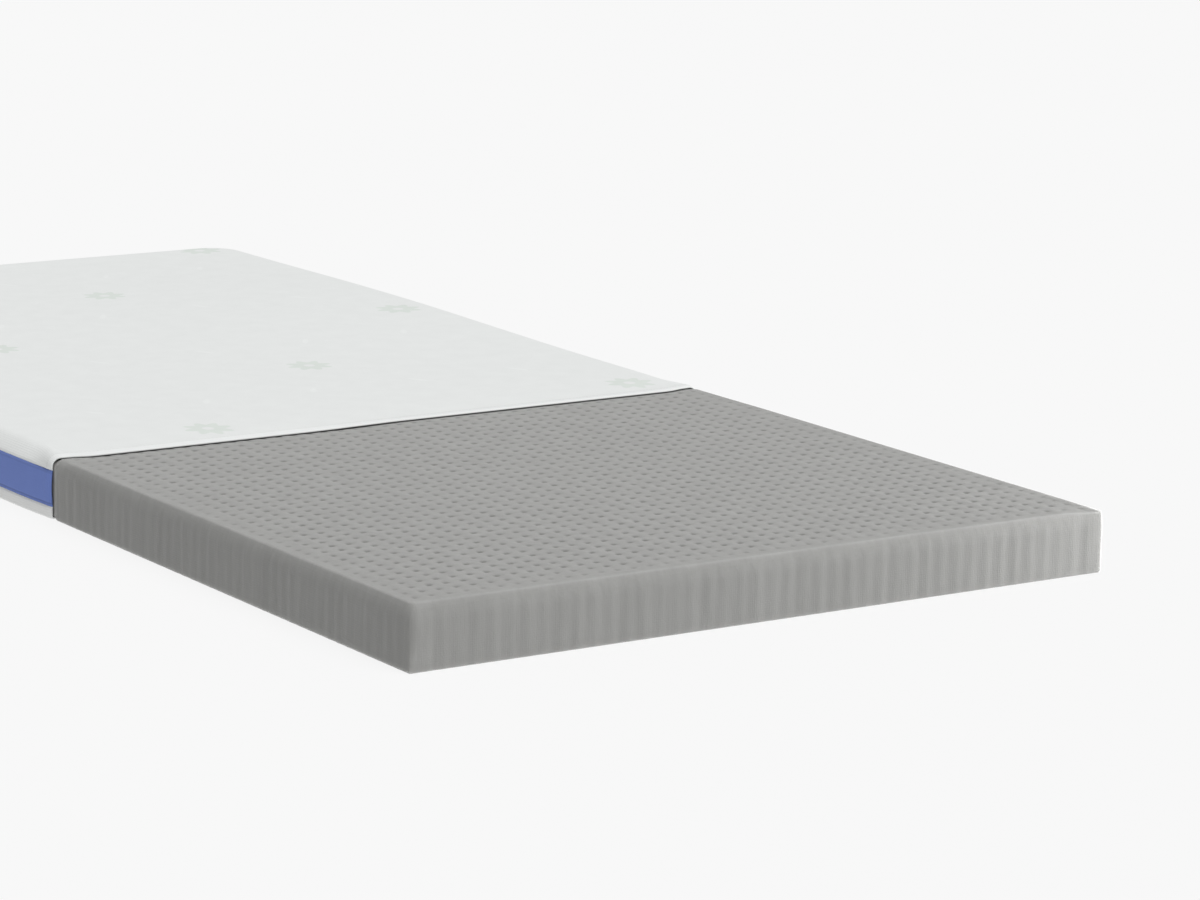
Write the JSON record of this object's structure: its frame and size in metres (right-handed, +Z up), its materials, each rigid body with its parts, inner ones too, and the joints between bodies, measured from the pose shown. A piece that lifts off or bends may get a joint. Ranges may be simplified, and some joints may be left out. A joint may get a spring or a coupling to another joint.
{
  "type": "mattress topper",
  "caption": "Flat mattress topper with a ribbed grey core and a white knit cover with a blue side band, drawn back from one end so that the core shows.",
  "frame": {"origin": "on the floor under the middle of the topper", "axes": "+Y along the topper from its bare end to its covered end, +Z up through its thickness, +X to the right seen from the bare end"},
  "size_m": [0.9064, 2, 0.075],
  "materials": {
    "grey_core": "matt grey, soft, with a fine grain",
    "white_knit": "matt white knit with a faint tone-on-tone figure",
    "blue_knit": "matt blue knit",
    "white_lower_knit": "matt white knit"
  },
  "bodies": {
    "root": {"core": "grey_core", "cover_top": "white_knit", "cover_side_band": "blue_knit", "cover_bottom": "white_lower_knit"}
  },
  "joints": []
}
